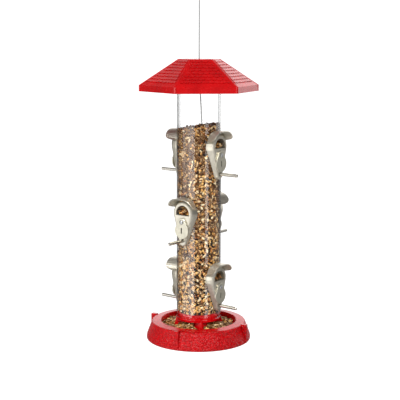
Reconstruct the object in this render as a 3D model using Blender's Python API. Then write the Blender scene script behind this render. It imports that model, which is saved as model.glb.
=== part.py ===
"""A hanging tube bird feeder: shingled roof, clear seed tube, six ports with swinging flaps, and a tray.

Metres, +Z up. The origin is the top of the hanging loop, where a hook would hold it, so the feeder
lies below it. Heights in this file are measured from the underside of the tray, and up() turns one
into a Z coordinate. +X and -X face the ports of the top and bottom levels, -Y and +Y those between.
"""

import math

import bmesh
import bpy
from mathutils import Matrix, Vector

GAP = 0.0003  # between pieces that rest on each other

# The body, without the cable above it.
BODY_HEIGHT = 0.3937
ROOF_RADIUS = 0.0832  # to its corners
TUBE_RADIUS = 0.0310
TUBE_WALL = 0.0020
TRAY_RADIUS = 0.0736

# The roof.
ROOF_TOP_RADIUS = 0.0288
FASCIA_TOP = 0.3581
FASCIA_BOTTOM = 0.3495
ROOF_WALL = 0.0025
ROOF_TURN = math.radians(-75)  # where its first corner points
HIP_WIDTH = 0.0018
HIP_RAISE = 0.0008
COLLAR_RADIUS = 0.0336
COLLAR_BOTTOM = 0.3620
COLLAR_TOP = 0.3865  # inside the thickness of the roof's slopes

# The cable and what is on it.
CABLE_RADIUS = 0.00075
CABLE_HOLE = 0.0017
CABLE_REACH = 0.0880  # above the roof, up to the ferrule
CABLE_START = 0.0040
CABLE_SPACING = 0.0062
FERRULE_RADIUS = 0.0023
FERRULE_LENGTH = 0.0110
LOOP_LENGTH = 0.0320
LOOP_HALF_WIDTH = 0.0085

# The tube.
TUBE_BOTTOM = 0.0315
TUBE_TOP = 0.3720

# The hub that the tube stands in.
HUB_BOTTOM = 0.0069
HUB_SHOULDER = 0.0312
HUB_RING_TOP = 0.0384
HUB_PLATE_RADIUS = 0.0313  # of the round plate that the tube stands on
HUB_PLATE = 0.0288  # its underside
HUB_THROAT = 0.0262  # the radius of the way down for the seed
HUB_FOOT_CORNER = 0.0374
HUB_SHOULDER_CORNER = 0.0316
HUB_TURN = math.radians(45)
ARCH_HALF_WIDTH = 0.0115
ARCH_FLOOR = 0.0090
ARCH_TOP = 0.0280
CORE_HALF_WIDTH = 0.0130
CORE_TOP = 0.0320
CORE_TOP_HALF_WIDTH = 0.0035

# The tray.
TRAY_FLOOR = 0.0026
TRAY_STEP = 0.0040  # the underside of its raised middle
TRAY_MIDDLE = 0.0066
TRAY_MOUTH = 0.0531
TRAY_RIM = 0.0263
POST_WIDTH = 0.0058
POST_TOP = 0.0266
POST_REACH = 0.0742
POST_INNER = 0.0655
POST_TURN = math.radians(-76.8)

# The screws from the tray into the hub's four legs.
SCREW_CIRCLE = 0.0270
SCREW_RADIUS = 0.0015
SCREW_HEAD_RADIUS = 0.0031
SCREW_HEAD_HEIGHT = 0.0016
SCREW_LENGTH = 0.0140

# The ports. Heights on one are measured from its perch.
TOP_LEVEL = 0.2368
MIDDLE_LEVEL = 0.1447
BOTTOM_LEVEL = 0.0518
PORT_FACE = 0.0369  # from the tube's axis
PIVOT_HEIGHT = 0.0263
HOLE_HEIGHT = 0.0379  # centre of the seed window, which the raised flap covers
WINDOW_RADIUS = 0.0115
WINDOW_BOTTOM = 0.0354
SLEEVE_WALL = 0.0015
SLEEVE_END = 0.0205
SLEEVE_GAP = 0.0004
HOOD_HALF_WIDTH = 0.0226
HOOD_BACK_HALF_WIDTH = 0.0150
HOOD_BOTTOM = 0.0452
HOOD_CORNER = 0.0520
HOOD_PEAK = 0.0602
HOOD_SIDE_REACH = 0.0434
HOOD_REACH = 0.0456

FLAP_CLEARANCE = 0.0003
FLAP_THICKNESS = 0.0021
FLAP_RADIUS = 0.0118
FLAP_TOP_RADIUS = 0.0060
SLOT_HALF_WIDTH = 0.0010
SLOT_HALF_HEIGHT = 0.0043

RIVET_SHANK = 0.0016
RIVET_HOLE = 0.0019
RIVET_HEAD = 0.0030
RIVET_DOME = 0.0015
RIVET_DEPTH = 0.0032

PERCH_RADIUS = 0.0023
PERCH_HOLE = 0.0026
PERCH_REACH = 0.0667

# The seed.
SEED_TOP = 0.3000
SEED_BOTTOM = 0.0335
SEED_GAP = 0.0004
TRAY_SEED_EDGE = 0.0190
TRAY_SEED_HEAP = 0.0240

PORTS = (
    ("top_right", TOP_LEVEL, 0),
    ("top_left", TOP_LEVEL, 180),
    ("middle_front", MIDDLE_LEVEL, -90),
    ("middle_back", MIDDLE_LEVEL, 90),
    ("bottom_right", BOTTOM_LEVEL, 0),
    ("bottom_left", BOTTOM_LEVEL, 180),
)
PERCHES = (
    ("top_perch", TOP_LEVEL, 0),
    ("middle_perch", MIDDLE_LEVEL, 90),
    ("bottom_perch", BOTTOM_LEVEL, 0),
)

# Where the cable runs, as x, y and height: it passes beside the perches, which cross the middle.
CABLE_ROUTE = (
    (0.0000, 0.0000, CABLE_START),
    (0.0000, 0.0000, 0.0180),
    (0.0001, 0.0002, 0.0300),
    (0.0018, 0.0026, 0.0400),
    (0.0034, 0.0042, 0.0512),
    (0.0042, 0.0046, 0.0700),
    (0.0045, 0.0045, 0.1050),
    (0.0047, 0.0046, 0.1425),
    (0.0047, 0.0047, 0.1900),
    (0.0045, 0.0046, 0.2350),
    (0.0038, 0.0038, 0.2700),
    (0.0029, 0.0029, 0.3020),
    (0.0019, 0.0019, 0.3300),
    (0.0010, 0.0010, 0.3550),
    (0.0003, 0.0003, 0.3800),
    (0.0000, 0.0000, 0.4000),
    (0.0000, 0.0000, 0.4400),
    (0.0000, 0.0000, BODY_HEIGHT + CABLE_REACH),
)

LOOP_TOP = BODY_HEIGHT + CABLE_REACH + FERRULE_LENGTH + 2 * GAP + LOOP_LENGTH


def up(height):
    """The Z coordinate of a height above the tray's underside. The inside of the loop's top is at 0."""
    return height - (LOOP_TOP - 2 * CABLE_RADIUS)


def clear_scene():
    for obj in list(bpy.data.objects):
        bpy.data.objects.remove(obj, do_unlink=True)


def material(name, colour, roughness, metallic=0.0, alpha=1.0):
    made = bpy.data.materials.new(name)
    made.use_nodes = True
    shader = made.node_tree.nodes["Principled BSDF"]
    shader.inputs["Base Color"].default_value = (*colour, 1.0)
    shader.inputs["Roughness"].default_value = roughness
    shader.inputs["Metallic"].default_value = metallic
    shader.inputs["Alpha"].default_value = alpha
    return made


# ---- building blocks -------------------------------------------------------------------------


def circle(radius, height, steps, centre=(0.0, 0.0)):
    turns = [2 * math.pi * step / steps for step in range(steps)]
    return [(centre[0] + radius * math.cos(a), centre[1] + radius * math.sin(a), height) for a in turns]


def loft(rings, closed=False):
    """A mesh through rings of equally many points: a capped solid or, if closed, one that meets its start."""
    made = bmesh.new()
    rows = [[made.verts.new(point) for point in ring] for ring in rings]
    count = len(rows[0])
    pairs = list(zip(rows, rows[1:]))
    if closed:
        pairs.append((rows[-1], rows[0]))
    for lower, upper in pairs:
        for step in range(count):
            after = (step + 1) % count
            made.faces.new((lower[step], lower[after], upper[after], upper[step]))
    if not closed:
        made.faces.new(rows[0])
        made.faces.new(rows[-1])
    bmesh.ops.recalc_face_normals(made, faces=made.faces)
    return made


def turned(profile, steps):
    """A hollow turned piece: profile is its closed wall outline as radius and height."""
    angles = [2 * math.pi * step / steps for step in range(steps)]
    rings = [[(r * math.cos(a), r * math.sin(a), z) for r, z in profile] for a in angles]
    return loft(rings, closed=True)


def box(low, high):
    made = bmesh.new()
    bmesh.ops.create_cube(made, size=1.0)
    size = Vector(high) - Vector(low)
    bmesh.ops.scale(made, vec=size, verts=made.verts)
    bmesh.ops.translate(made, vec=(Vector(high) + Vector(low)) / 2, verts=made.verts)
    return made


def across(outline, near, far):
    """A prism along X: outline is points of Y and Z."""
    return loft([[(near, y, z) for y, z in outline], [(far, y, z) for y, z in outline]])


def rod_along_x(radius, near, far, centre_z=0.0, steps=16):
    outline = [(x, z + centre_z) for x, z, _ in circle(radius, 0.0, steps)]
    return across(outline, near, far)


def moved(made, matrix):
    bmesh.ops.transform(made, matrix=matrix, verts=made.verts)
    return made


def at_height(made, height):
    return moved(made, Matrix.Translation((0.0, 0.0, height)))


def merged(parts):
    """One mesh that holds several separate solids."""
    whole = bmesh.new()
    for part in parts:
        mesh = bpy.data.meshes.new("part")
        part.to_mesh(mesh)
        part.free()
        whole.from_mesh(mesh)
        bpy.data.meshes.remove(mesh)
    return whole


def add_object(name, made, finish=None):
    mesh = bpy.data.meshes.new(name)
    made.to_mesh(mesh)
    made.free()
    mesh.shade_smooth()
    mesh.set_sharp_from_angle(angle=math.radians(35))
    obj = bpy.data.objects.new(name, mesh)
    bpy.context.scene.collection.objects.link(obj)
    if finish:
        mesh.materials.append(finish)
    return obj


def boolean(target, made, operation):
    """Cuts, joins or clips target with a helper solid, by a modifier that stays on it."""
    helper = add_object(f"{target.name}_{operation.lower()}_{len(target.modifiers)}", made)
    helper.hide_render = True
    helper.display_type = "WIRE"
    modifier = target.modifiers.new(helper.name, "BOOLEAN")
    modifier.operation = operation
    modifier.object = helper
    return helper


def cut(target, made):
    return boolean(target, made, "DIFFERENCE")


def join(target, made):
    return boolean(target, made, "UNION")


def finished_mesh(obj):
    """The mesh of obj with its modifiers applied, for copies that share it. obj and its helpers go."""
    helpers = [modifier.object for modifier in obj.modifiers if modifier.type == "BOOLEAN"]
    graph = bpy.context.evaluated_depsgraph_get()
    mesh = bpy.data.meshes.new_from_object(obj.evaluated_get(graph))
    for helper in helpers:
        bpy.data.objects.remove(helper, do_unlink=True)
    bpy.data.objects.remove(obj, do_unlink=True)
    mesh.shade_smooth()
    mesh.set_sharp_from_angle(angle=math.radians(35))
    return mesh


def place(name, mesh, level, turn, offset=(0.0, 0.0, 0.0)):
    """A copy of a port's piece. Its empty holds the port's direction, and offset is the piece's origin."""
    mount = bpy.data.objects.new(f"{name}_frame", None)
    mount.location = (0.0, 0.0, up(level))
    mount.rotation_euler = (0.0, 0.0, math.radians(turn))
    obj = bpy.data.objects.new(name, mesh)
    obj.parent = mount
    obj.location = offset
    for each in (mount, obj):
        bpy.context.scene.collection.objects.link(each)
    return obj


# ---- roof ------------------------------------------------------------------------------------


def hexagon(corner, height, raised):
    """Six corners, each of four points, which stand up as a hip's narrow ridge where raised."""
    points = []
    for step in range(6):
        turn = ROOF_TURN + step * math.pi / 3
        outward = Vector((math.cos(turn), math.sin(turn), 0.0))
        before = Vector((math.cos(turn - 2 * math.pi / 3), math.sin(turn - 2 * math.pi / 3), 0.0))
        after = Vector((math.cos(turn + 2 * math.pi / 3), math.sin(turn + 2 * math.pi / 3), 0.0))
        start = outward * corner + Vector((0.0, 0.0, height))
        if raised:
            lift = outward * HIP_RAISE
            points += [start + before * HIP_WIDTH, start + before * HIP_WIDTH * 0.7 + lift]
            points += [start + after * HIP_WIDTH * 0.7 + lift, start + after * HIP_WIDTH]
        else:
            points += [start + before * HIP_WIDTH * share for share in (0.3, 0.1)]
            points += [start + after * HIP_WIDTH * share for share in (0.1, 0.3)]
    return points


def build_roof(finish):
    inner = ROOF_RADIUS - ROOF_WALL * 1.1
    outside = [
        (ROOF_TOP_RADIUS, BODY_HEIGHT, True),
        (ROOF_RADIUS, FASCIA_TOP, True),
        (ROOF_RADIUS, FASCIA_BOTTOM, True),
    ]
    inside = [
        (inner, FASCIA_BOTTOM, False),
        (inner, FASCIA_TOP - ROOF_WALL * 0.5, False),
        (ROOF_TOP_RADIUS - ROOF_WALL * 0.5, BODY_HEIGHT - ROOF_WALL, False),
        (CABLE_HOLE * 1.1, BODY_HEIGHT - ROOF_WALL, False),
        (CABLE_HOLE * 1.1, BODY_HEIGHT, False),
    ]
    rings = [hexagon(corner, up(height), raised) for corner, height, raised in outside + inside]
    roof = add_object("roof", loft(rings, closed=True), finish)
    join(roof, at_height(roof_collar(), up(0.0)))
    return roof


def roof_collar():
    """The ring under the roof that slips over the tube. Its step rests on the tube's top edge."""
    step_radius = TUBE_RADIUS - TUBE_WALL
    return turned(
        [
            (COLLAR_RADIUS, COLLAR_TOP),
            (COLLAR_RADIUS, COLLAR_BOTTOM),
            (TUBE_RADIUS + 0.0005, COLLAR_BOTTOM),
            (TUBE_RADIUS + 0.0005, TUBE_TOP + GAP),
            (step_radius, TUBE_TOP + GAP),
            (step_radius, COLLAR_TOP),
        ],
        32,
    )


# ---- tube ------------------------------------------------------------------------------------


def window_outline(extra, steps=10):
    """The seed window as points of Y and Z: a round top over a flat sill, wider all round by extra."""
    radius = WINDOW_RADIUS + extra
    sill = WINDOW_BOTTOM - extra
    start = math.asin((sill - HOLE_HEIGHT) / radius)
    sweep = math.pi - 2 * start
    angles = [start + sweep * step / steps for step in range(steps + 1)]
    return [(radius * math.cos(a), HOLE_HEIGHT + radius * math.sin(a)) for a in angles]


def for_each_port(shape):
    """A fresh copy of shape() at every port."""
    copies = []
    for _, level, turn in PORTS:
        spot = Matrix.Translation((0.0, 0.0, up(level))) @ Matrix.Rotation(math.radians(turn), 4, "Z")
        copies.append(moved(shape(), spot))
    return merged(copies)


def perch_rods(radius, reach):
    rods = []
    for _, level, turn in PERCHES:
        spot = Matrix.Translation((0.0, 0.0, up(level))) @ Matrix.Rotation(math.radians(turn), 4, "Z")
        rods.append(moved(rod_along_x(radius, -reach, reach, 0.0, 12), spot))
    return merged(rods)


def build_tube(finish):
    inner = TUBE_RADIUS - TUBE_WALL
    profile = [(TUBE_RADIUS, TUBE_BOTTOM), (TUBE_RADIUS, TUBE_TOP), (inner, TUBE_TOP), (inner, TUBE_BOTTOM)]
    tube = add_object("seed_tube", at_height(turned(profile, 40), up(0.0)), finish)
    hole = SLEEVE_WALL + SLEEVE_GAP
    cut(tube, for_each_port(lambda: across(window_outline(hole), 0.020, 0.040)))
    cut(tube, perch_rods(PERCH_HOLE, 0.040))
    return tube


# ---- hub and tray ----------------------------------------------------------------------------


def square(corner, height):
    angles = [HUB_TURN + math.pi * step / 2 for step in range(4)]
    return [(corner * math.cos(a), corner * math.sin(a), height) for a in angles]


def arch(reach):
    """A passage along X for the seed, with upright sides that round over into its top."""
    outline = []
    for step in range(13):
        angle = math.pi * step / 12
        side = math.copysign(abs(math.cos(angle)) ** 0.45, math.cos(angle))
        rise = math.sin(angle) ** 0.45 if 0 < step < 12 else 0.0
        outline.append((ARCH_HALF_WIDTH * side, ARCH_FLOOR + (ARCH_TOP - ARCH_FLOOR) * rise))
    return across(outline, -reach, reach)


def build_hub(finish):
    """A square foot with arched sides, a plate and ring for the tube, and a core that spreads the seed."""
    foot = loft([square(HUB_FOOT_CORNER, HUB_BOTTOM), square(HUB_SHOULDER_CORNER, HUB_SHOULDER)])
    hub = add_object("tube_hub", at_height(foot, up(0.0)), finish)
    ring_radius = TUBE_RADIUS - TUBE_WALL - GAP
    plate_and_ring = loft(
        [
            circle(HUB_PLATE_RADIUS, HUB_PLATE, 36),
            circle(HUB_PLATE_RADIUS, HUB_SHOULDER, 36),
            circle(ring_radius, HUB_SHOULDER, 36),
            circle(ring_radius, HUB_RING_TOP, 36),
        ]
    )
    join(hub, at_height(plate_and_ring, up(0.0)))
    way_down = loft(
        [
            circle(HUB_THROAT - 0.0040, ARCH_FLOOR + 0.0100, 36),
            circle(HUB_THROAT, HUB_PLATE - 0.0010, 36),
            circle(HUB_THROAT, HUB_RING_TOP + 0.0010, 36),
        ]
    )
    cut(hub, at_height(way_down, up(0.0)))
    for turn in (0.0, math.pi / 2):
        passage = moved(arch(HUB_FOOT_CORNER), Matrix.Rotation(turn, 4, "Z"))
        cut(hub, at_height(passage, up(0.0)))
    core = loft(
        [
            square(CORE_HALF_WIDTH * math.sqrt(2), ARCH_FLOOR - 0.0010),
            square(CORE_TOP_HALF_WIDTH * math.sqrt(2), CORE_TOP),
        ]
    )
    join(hub, at_height(core, up(0.0)))
    cable_way = loft([circle(CABLE_HOLE, 0.0, 12), circle(CABLE_HOLE, CORE_TOP + 0.0010, 12)])
    cut(hub, at_height(cable_way, up(0.0)))
    cut(hub, at_height(screw_holes(SCREW_RADIUS + GAP, 0.0, TRAY_STEP + SCREW_LENGTH + GAP), up(0.0)))
    return hub


def screw_spots():
    """The middles of the four screws, which stand under the hub's corners."""
    angles = [HUB_TURN + step * math.pi / 2 for step in range(4)]
    return [(SCREW_CIRCLE * math.cos(a), SCREW_CIRCLE * math.sin(a)) for a in angles]


def screw_holes(radius, low, high):
    holes = [[circle(radius, height, 12, spot) for height in (low, high)] for spot in screw_spots()]
    return merged([loft(rings) for rings in holes])


def build_screws(finish):
    """Pan-head screws, up through the tray's raised middle into the hub."""
    head = TRAY_STEP - GAP
    screw = loft(
        [
            circle(SCREW_HEAD_RADIUS * 0.7, head - SCREW_HEAD_HEIGHT, 12),
            circle(SCREW_HEAD_RADIUS, head - SCREW_HEAD_HEIGHT * 0.5, 12),
            circle(SCREW_HEAD_RADIUS, head, 12),
            circle(SCREW_RADIUS, head, 12),
            circle(SCREW_RADIUS, head + SCREW_LENGTH - SCREW_RADIUS, 12),
            circle(SCREW_RADIUS * 0.3, head + SCREW_LENGTH, 12),
        ]
    )
    mesh = finished_mesh(add_object("screw_master", screw, finish))
    for number, (x, y) in enumerate(screw_spots(), 1):
        obj = bpy.data.objects.new(f"hub_screw_{number}", mesh)
        obj.location = (x, y, up(0.0))
        bpy.context.scene.collection.objects.link(obj)


def tray_profile():
    """The tray's wall, from the lip it stands on, up the sloping side, over the rim and down inside."""
    outside = [
        (0.0730, 0.0),
        (TRAY_RADIUS, 0.0010),
        (TRAY_RADIUS, 0.0034),
        (0.0729, 0.0070),
        (0.0664, 0.0240),
        (0.0657, 0.0250),
        (0.0647, 0.0255),
    ]
    rim = [(0.0556, TRAY_RIM - 0.0002), (TRAY_MOUTH + 0.0010, TRAY_RIM), (TRAY_MOUTH, TRAY_RIM - 0.0008)]
    inside = [
        (0.0521, 0.0060),
        (0.0506, 0.0034),
        (0.0490, TRAY_FLOOR),
        (0.0430, TRAY_FLOOR),
        (0.0414, TRAY_MIDDLE),
        (CABLE_HOLE, TRAY_MIDDLE),
        (CABLE_HOLE, TRAY_STEP),
        (0.0395, TRAY_STEP),
        (0.0408, 0.0),
    ]
    under = [
        (0.0536, 0.0),
        (0.0545, 0.0050),
        (0.0554, 0.0236),
        (0.0636, 0.0228),
        (0.0706, 0.0062),
        (0.0712, 0.0),
    ]
    return outside + rim + inside + under


def post(step):
    solid = box((POST_INNER, -POST_WIDTH / 2, GAP), (POST_REACH, POST_WIDTH / 2, POST_TOP))
    edges = [edge for edge in solid.edges if min(vert.co.x for vert in edge.verts) > POST_REACH - GAP]
    bmesh.ops.bevel(solid, geom=edges, offset=0.0009, segments=2, profile=0.5, affect="EDGES")
    return moved(solid, Matrix.Rotation(POST_TURN + step * math.pi / 2, 4, "Z"))


def build_tray(finish):
    tray = add_object("base_tray", at_height(turned(tray_profile(), 48), up(0.0)), finish)
    join(tray, at_height(merged([post(step) for step in range(4)]), up(0.0)))
    cut(tray, at_height(screw_holes(SCREW_RADIUS + GAP, 0.0, TRAY_MIDDLE + 0.001), up(0.0)))
    return tray


# ---- ports -----------------------------------------------------------------------------------


def drop(x, low_radius, low_z, high_radius, high_z, change, steps=24):
    """Two circles, one over the other, with the lines that touch both, in the plane at x.

    change is the sine of the angle at which the outline leaves one circle for the other.
    """
    points = []
    for step in range(steps):
        angle = 2 * math.pi * step / steps
        on_high = math.sin(angle) > change
        radius = high_radius if on_high else low_radius
        centre = high_z if on_high else low_z
        points.append((x, radius * math.cos(angle), centre + radius * math.sin(angle)))
    return points


def port_body():
    """The housing's tapering body, from inside the tube's wall out to its flat face."""
    back = 0.0220
    rings = []
    for share in (0.0, 0.45, 0.75, 0.94):
        spread = math.sqrt(1.0 - share * share)
        x = back + (PORT_FACE - back) * share
        low = (0.0053 + 0.0012 * spread, -0.0017 + 0.0006 * spread)
        high = (0.0147 + 0.0034 * spread, 0.0383 - 0.0003 * spread)
        rings.append(drop(x, *low, *high, -0.27))
    rings.append(drop(PORT_FACE, 0.0048, -0.0014, 0.0142, 0.0383, -0.27))
    return loft(rings)


def hood_front(z):
    """How far the hood's edge stands out at a height on its cheek: it rounds in towards its lower end."""
    if z >= HOOD_CORNER:
        return HOOD_SIDE_REACH
    down = (HOOD_CORNER - z) / (HOOD_CORNER - HOOD_BOTTOM)
    return 0.0320 + (HOOD_SIDE_REACH - 0.0320) * math.sqrt(max(0.0, 1.0 - down * down))


def port_hood(steps=18):
    """The arched hood over the seed window: it widens outwards, and comes down on both sides as a cheek."""
    back = 0.0240
    lip = 0.0006
    thin = 0.0017
    thick = 0.0036
    flare = HOOD_BACK_HALF_WIDTH / HOOD_HALF_WIDTH
    stations = []
    for step in range(steps + 1):
        angle = math.pi * step / steps
        side = math.copysign(abs(math.cos(angle)) ** 0.70, math.cos(angle))
        height = abs(math.sin(angle)) ** 1.25
        y = HOOD_HALF_WIDTH * side
        z = HOOD_BOTTOM + (HOOD_PEAK - HOOD_BOTTOM) * height
        front = hood_front(z) + (HOOD_REACH - HOOD_SIDE_REACH) * max(0.0, 1.0 - side * side)
        slope = 0.10 * (1.0 - height)
        back_z = z - slope * (front - back)
        lip_z = z - slope * lip
        droop = 0.04 * (front - 0.0300) * height
        middle = y * (1.0 - thin / 2 / HOOD_HALF_WIDTH)
        inner = y * (1.0 - thin / HOOD_HALF_WIDTH)
        stations.append(
            [
                (back, y * flare, back_z),
                (front - lip, y, lip_z - droop),
                (front, middle, z - droop - thin / 2 * height),
                (front - lip, inner, lip_z - droop - thin * height),
                (back, y * flare * (1.0 - thick / HOOD_BACK_HALF_WIDTH), back_z - thick * height),
            ]
        )
    return loft(stations)


def clear_of_tube(solid):
    """The part of a port's solid that lies outside the tube."""
    piece = add_object("trimmed", solid)
    cut(piece, loft([circle(TUBE_RADIUS + GAP, height, 56) for height in (-0.020, 0.070)]))
    mesh = finished_mesh(piece)
    made = bmesh.new()
    made.from_mesh(mesh)
    bpy.data.meshes.remove(mesh)
    return made


def build_port_mesh(finish):
    body = add_object("port_master", clear_of_tube(port_body()), finish)
    join(body, clear_of_tube(port_hood()))
    join(body, across(window_outline(SLEEVE_WALL), SLEEVE_END, PORT_FACE - 0.0030))
    cut(body, across(window_outline(0.0), 0.0150, 0.0500))
    cut(body, rod_along_x(PERCH_HOLE, 0.0200, 0.0400, 0.0, 12))
    cut(body, rod_along_x(RIVET_HOLE, PORT_FACE - RIVET_DEPTH - GAP, 0.0400, PIVOT_HEIGHT, 10))
    return finished_mesh(body)


def slot_outline(steps=3):
    """A narrow upright slot with round ends, at the middle of the flap."""
    straight = SLOT_HALF_HEIGHT - SLOT_HALF_WIDTH
    middle = HOLE_HEIGHT - PIVOT_HEIGHT
    points = []
    for start, end_z in ((0.0, -middle + straight), (math.pi, -middle - straight)):
        for step in range(steps + 1):
            angle = start + math.pi * step / steps
            points.append((SLOT_HALF_WIDTH * math.cos(angle), end_z + SLOT_HALF_WIDTH * math.sin(angle)))
    return points


def build_flap_mesh(finish):
    """A drop-shaped flap, hanging from its rivet. Its origin is on the rivet's axis, at its back face."""
    middle = HOLE_HEIGHT - PIVOT_HEIGHT
    edge = 0.0005
    rings = []
    for x, inset in ((0.0, 0.0), (FLAP_THICKNESS - edge, 0.0), (FLAP_THICKNESS, edge)):
        rings.append(drop(x, FLAP_RADIUS - inset, -middle, FLAP_TOP_RADIUS - inset, 0.0, 0.45))
    flap = add_object("flap_master", loft(rings), finish)
    cut(flap, across(slot_outline(), -0.001, 0.005))
    cut(flap, rod_along_x(RIVET_HOLE, -0.001, 0.005, 0.0, 10))
    return finished_mesh(flap)


def build_rivet_mesh(finish):
    """A domed rivet. Its origin is on its axis, at the back face of the flap."""
    head = FLAP_THICKNESS + FLAP_CLEARANCE
    stations = [
        (-FLAP_CLEARANCE - RIVET_DEPTH, RIVET_SHANK),
        (head, RIVET_SHANK),
        (head, RIVET_HEAD),
        (head + RIVET_DOME * 0.35, RIVET_HEAD),
        (head + RIVET_DOME * 0.75, RIVET_HEAD * 0.74),
        (head + RIVET_DOME, RIVET_HEAD * 0.30),
    ]
    rings = [[(x, y, z) for y, z, _ in circle(radius, 0.0, 10)] for x, radius in stations]
    return finished_mesh(add_object("rivet_master", loft(rings), finish))


def build_ports(finishes):
    port = build_port_mesh(finishes["port"])
    flap = build_flap_mesh(finishes["flap"])
    rivet = build_rivet_mesh(finishes["rivet"])
    pivot = (PORT_FACE + FLAP_CLEARANCE, 0.0, PIVOT_HEIGHT)
    for name, level, turn in PORTS:
        place(f"{name}_port", port, level, turn)
        place(f"{name}_flap", flap, level, turn, pivot)
        place(f"{name}_rivet", rivet, level, turn, pivot)


def build_perches(finish):
    """Each perch is one rod through the tube and two opposite ports, with rounded ends."""
    bulge = PERCH_RADIUS * 0.55
    stations = [
        (-PERCH_REACH, PERCH_RADIUS * 0.45),
        (-PERCH_REACH + bulge * 0.45, PERCH_RADIUS * 0.85),
        (-PERCH_REACH + bulge, PERCH_RADIUS),
    ]
    stations += [(-x, radius) for x, radius in reversed(stations)]
    rings = [[(x, y, z) for y, z, _ in circle(radius, 0.0, 12)] for x, radius in stations]
    mesh = finished_mesh(add_object("perch_master", loft(rings), finish))
    for name, level, turn in PERCHES:
        place(name, mesh, level, turn)


# ---- cable -----------------------------------------------------------------------------------


def smooth_through(route, spacing):
    """Evenly spaced points on a smooth curve through the route's points, by Catmull-Rom spans."""
    points = [Vector(point) for point in route]
    ends = [points[0] * 2 - points[1], *points, points[-1] * 2 - points[-2]]
    dense = []
    for before, start, end, after in zip(ends, ends[1:], ends[2:], ends[3:]):
        for step in range(20):
            t = step / 20
            dense.append(
                (
                    start * 2
                    + (end - before) * t
                    + (before * 2 - start * 5 + end * 4 - after) * t * t
                    + (start * 3 - before - end * 3 + after) * t * t * t
                )
                / 2
            )
    dense.append(points[-1])
    length = sum((b - a).length for a, b in zip(dense, dense[1:]))
    count = round(length / spacing)
    picked = [dense[0]]
    travelled = 0.0
    for a, b in zip(dense, dense[1:]):
        travelled += (b - a).length
        if travelled >= length * len(picked) / count and len(picked) < count:
            picked.append(b)
    return [*picked, dense[-1]]


def cord(name, points, finish):
    curve = bpy.data.curves.new(name, "CURVE")
    curve.dimensions = "3D"
    curve.bevel_depth = CABLE_RADIUS
    curve.bevel_resolution = 2
    curve.use_fill_caps = True
    curve.materials.append(finish)
    spline = curve.splines.new("POLY")
    spline.points.add(len(points) - 1)
    for target, point in zip(spline.points, points):
        target.co = (*point, 1.0)
    obj = bpy.data.objects.new(name, curve)
    bpy.context.scene.collection.objects.link(obj)
    return obj


def loop_route():
    """Up one side of a drop-shaped loop, round its top, and down the other, as points in the XZ plane."""
    foot = LOOP_TOP - LOOP_LENGTH
    side = CABLE_RADIUS * 1.5
    half = LOOP_HALF_WIDTH - CABLE_RADIUS
    centre = LOOP_TOP - CABLE_RADIUS - half
    rise = [
        (side, foot),
        (side * 1.1, foot + 0.0030),
        (side * 2.3, foot + 0.0085),
        (half * 0.74, foot + 0.0150),
    ]
    left = [(-x, 0.0, up(z)) for x, z in rise]
    right = [(x, 0.0, up(z)) for x, z in reversed(rise)]
    angles = [math.pi * (1 - step / 8) for step in range(9)]
    top = [(half * math.cos(a), 0.0, up(centre + half * math.sin(a))) for a in angles]
    return left + top + right


def build_cable(finishes):
    route = [(x, y, up(height)) for x, y, height in CABLE_ROUTE]
    cord("hanging_cable", smooth_through(route, CABLE_SPACING), finishes["cable"])
    cord("hang_loop", smooth_through(loop_route(), CABLE_SPACING * 0.5), finishes["cable"])
    add_object("cable_ferrule", ferrule(), finishes["rivet"])
    add_object("cable_stop", cable_stop(), finishes["rivet"])


def ferrule():
    """An oval crimped sleeve with rounded ends."""
    low = BODY_HEIGHT + CABLE_REACH + GAP
    sizes = ((0.0, 0.80), (0.10, 1.0), (0.38, 1.0), (0.5, 0.86), (0.62, 1.0), (0.90, 1.0), (1.0, 0.80))
    rings = []
    for share, size in sizes:
        ring = circle(FERRULE_RADIUS * size, up(low + FERRULE_LENGTH * share), 12)
        rings.append([(x, y * 0.72, z) for x, y, z in ring])
    return loft(rings)


def cable_stop():
    """A washer and a ferrule in one, on the cable's end, under the raised middle of the tray."""
    top = TRAY_STEP - GAP
    stations = [
        (0.0017, 0.0005),
        (0.0021, 0.0009),
        (0.0021, top - 0.0010),
        (0.0060, top - 0.0009),
        (0.0060, top),
    ]
    return loft([circle(radius, up(height), 16) for radius, height in stations])


# ---- seed ------------------------------------------------------------------------------------


def build_tube_seed(finish):
    """The seed that fills the tube, up to a slightly uneven top, clear of the perches, cable and sleeves."""
    radius = TUBE_RADIUS - TUBE_WALL - GAP
    throat = HUB_THROAT - GAP
    ring_top = HUB_RING_TOP + GAP
    body = loft(
        [
            circle(throat, SEED_BOTTOM, 32),
            circle(throat, ring_top, 32),
            circle(radius, ring_top, 32),
            circle(radius, SEED_TOP, 32),
        ]
    )
    seed = add_object("tube_seed", at_height(body, up(0.0)), finish)
    hole = SLEEVE_WALL + SEED_GAP
    cut(seed, for_each_port(lambda: across(window_outline(hole), SLEEVE_END - 0.0022, 0.040)))
    cut(seed, perch_rods(PERCH_RADIUS + SEED_GAP, 0.040))
    channel = box((-0.0020, -0.0020, up(0.0)), (0.0068, 0.0068, up(SEED_TOP + 0.010)))
    cut(seed, channel)
    return seed


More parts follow.
